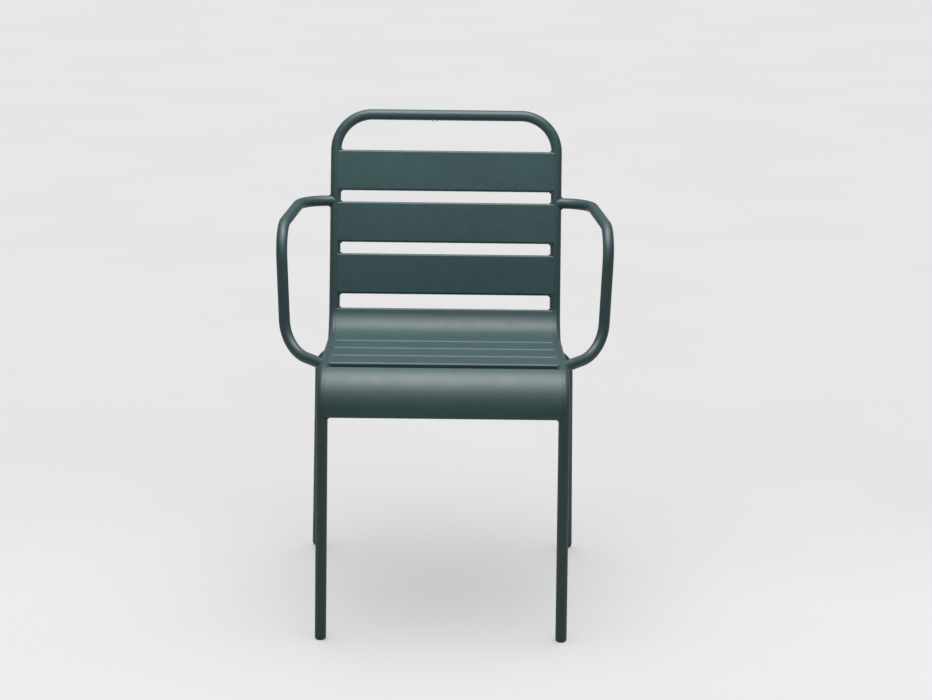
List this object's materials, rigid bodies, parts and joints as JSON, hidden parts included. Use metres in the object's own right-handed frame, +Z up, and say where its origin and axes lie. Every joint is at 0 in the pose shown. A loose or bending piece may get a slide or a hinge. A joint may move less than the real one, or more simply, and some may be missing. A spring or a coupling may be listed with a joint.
{
  "type": "stacking armchair",
  "caption": "Stacking armchair of bent steel tube with folded sheet slats for seat and back, looped tube arms and a welded rear leg frame.",
  "frame": {"origin": "on the floor under the middle of the chair's bounding box", "axes": "+Z up, -Y towards the front (the way the sitter faces), +X to the right when the chair is looked at from the front"},
  "size_m": [0.5738, 0.5559, 0.8112],
  "materials": {
    "tube_coat": "satin",
    "slat_coat": "satin",
    "weld_coat": "satin",
    "glide_plastic": "matte",
    "plug_plastic": "gloss"
  },
  "bodies": {
    "root": {"main_frame_tube": "tube_coat", "rear_leg_frame_tube": "tube_coat", "arm_tube_left": "tube_coat", "arm_tube_right": "tube_coat", "front_roll_slat": "slat_coat", "seat_back_curve_slat": "slat_coat", "seat_slat_front": "slat_coat", "seat_slat_middle": "slat_coat", "seat_slat_rear": "slat_coat", "back_slat_upper": "slat_coat", "back_slat_middle": "slat_coat", "back_slat_lower": "slat_coat", "seat_slat_welds": "weld_coat", "back_slat_welds": "weld_coat", "arm_welds": "weld_coat", "rear_leg_welds": "weld_coat", "glide_front_left": "glide_plastic", "glide_front_right": "glide_plastic", "glide_rear_left": "glide_plastic", "glide_rear_right": "glide_plastic", "vent_plug": "plug_plastic"}
  },
  "joints": []
}
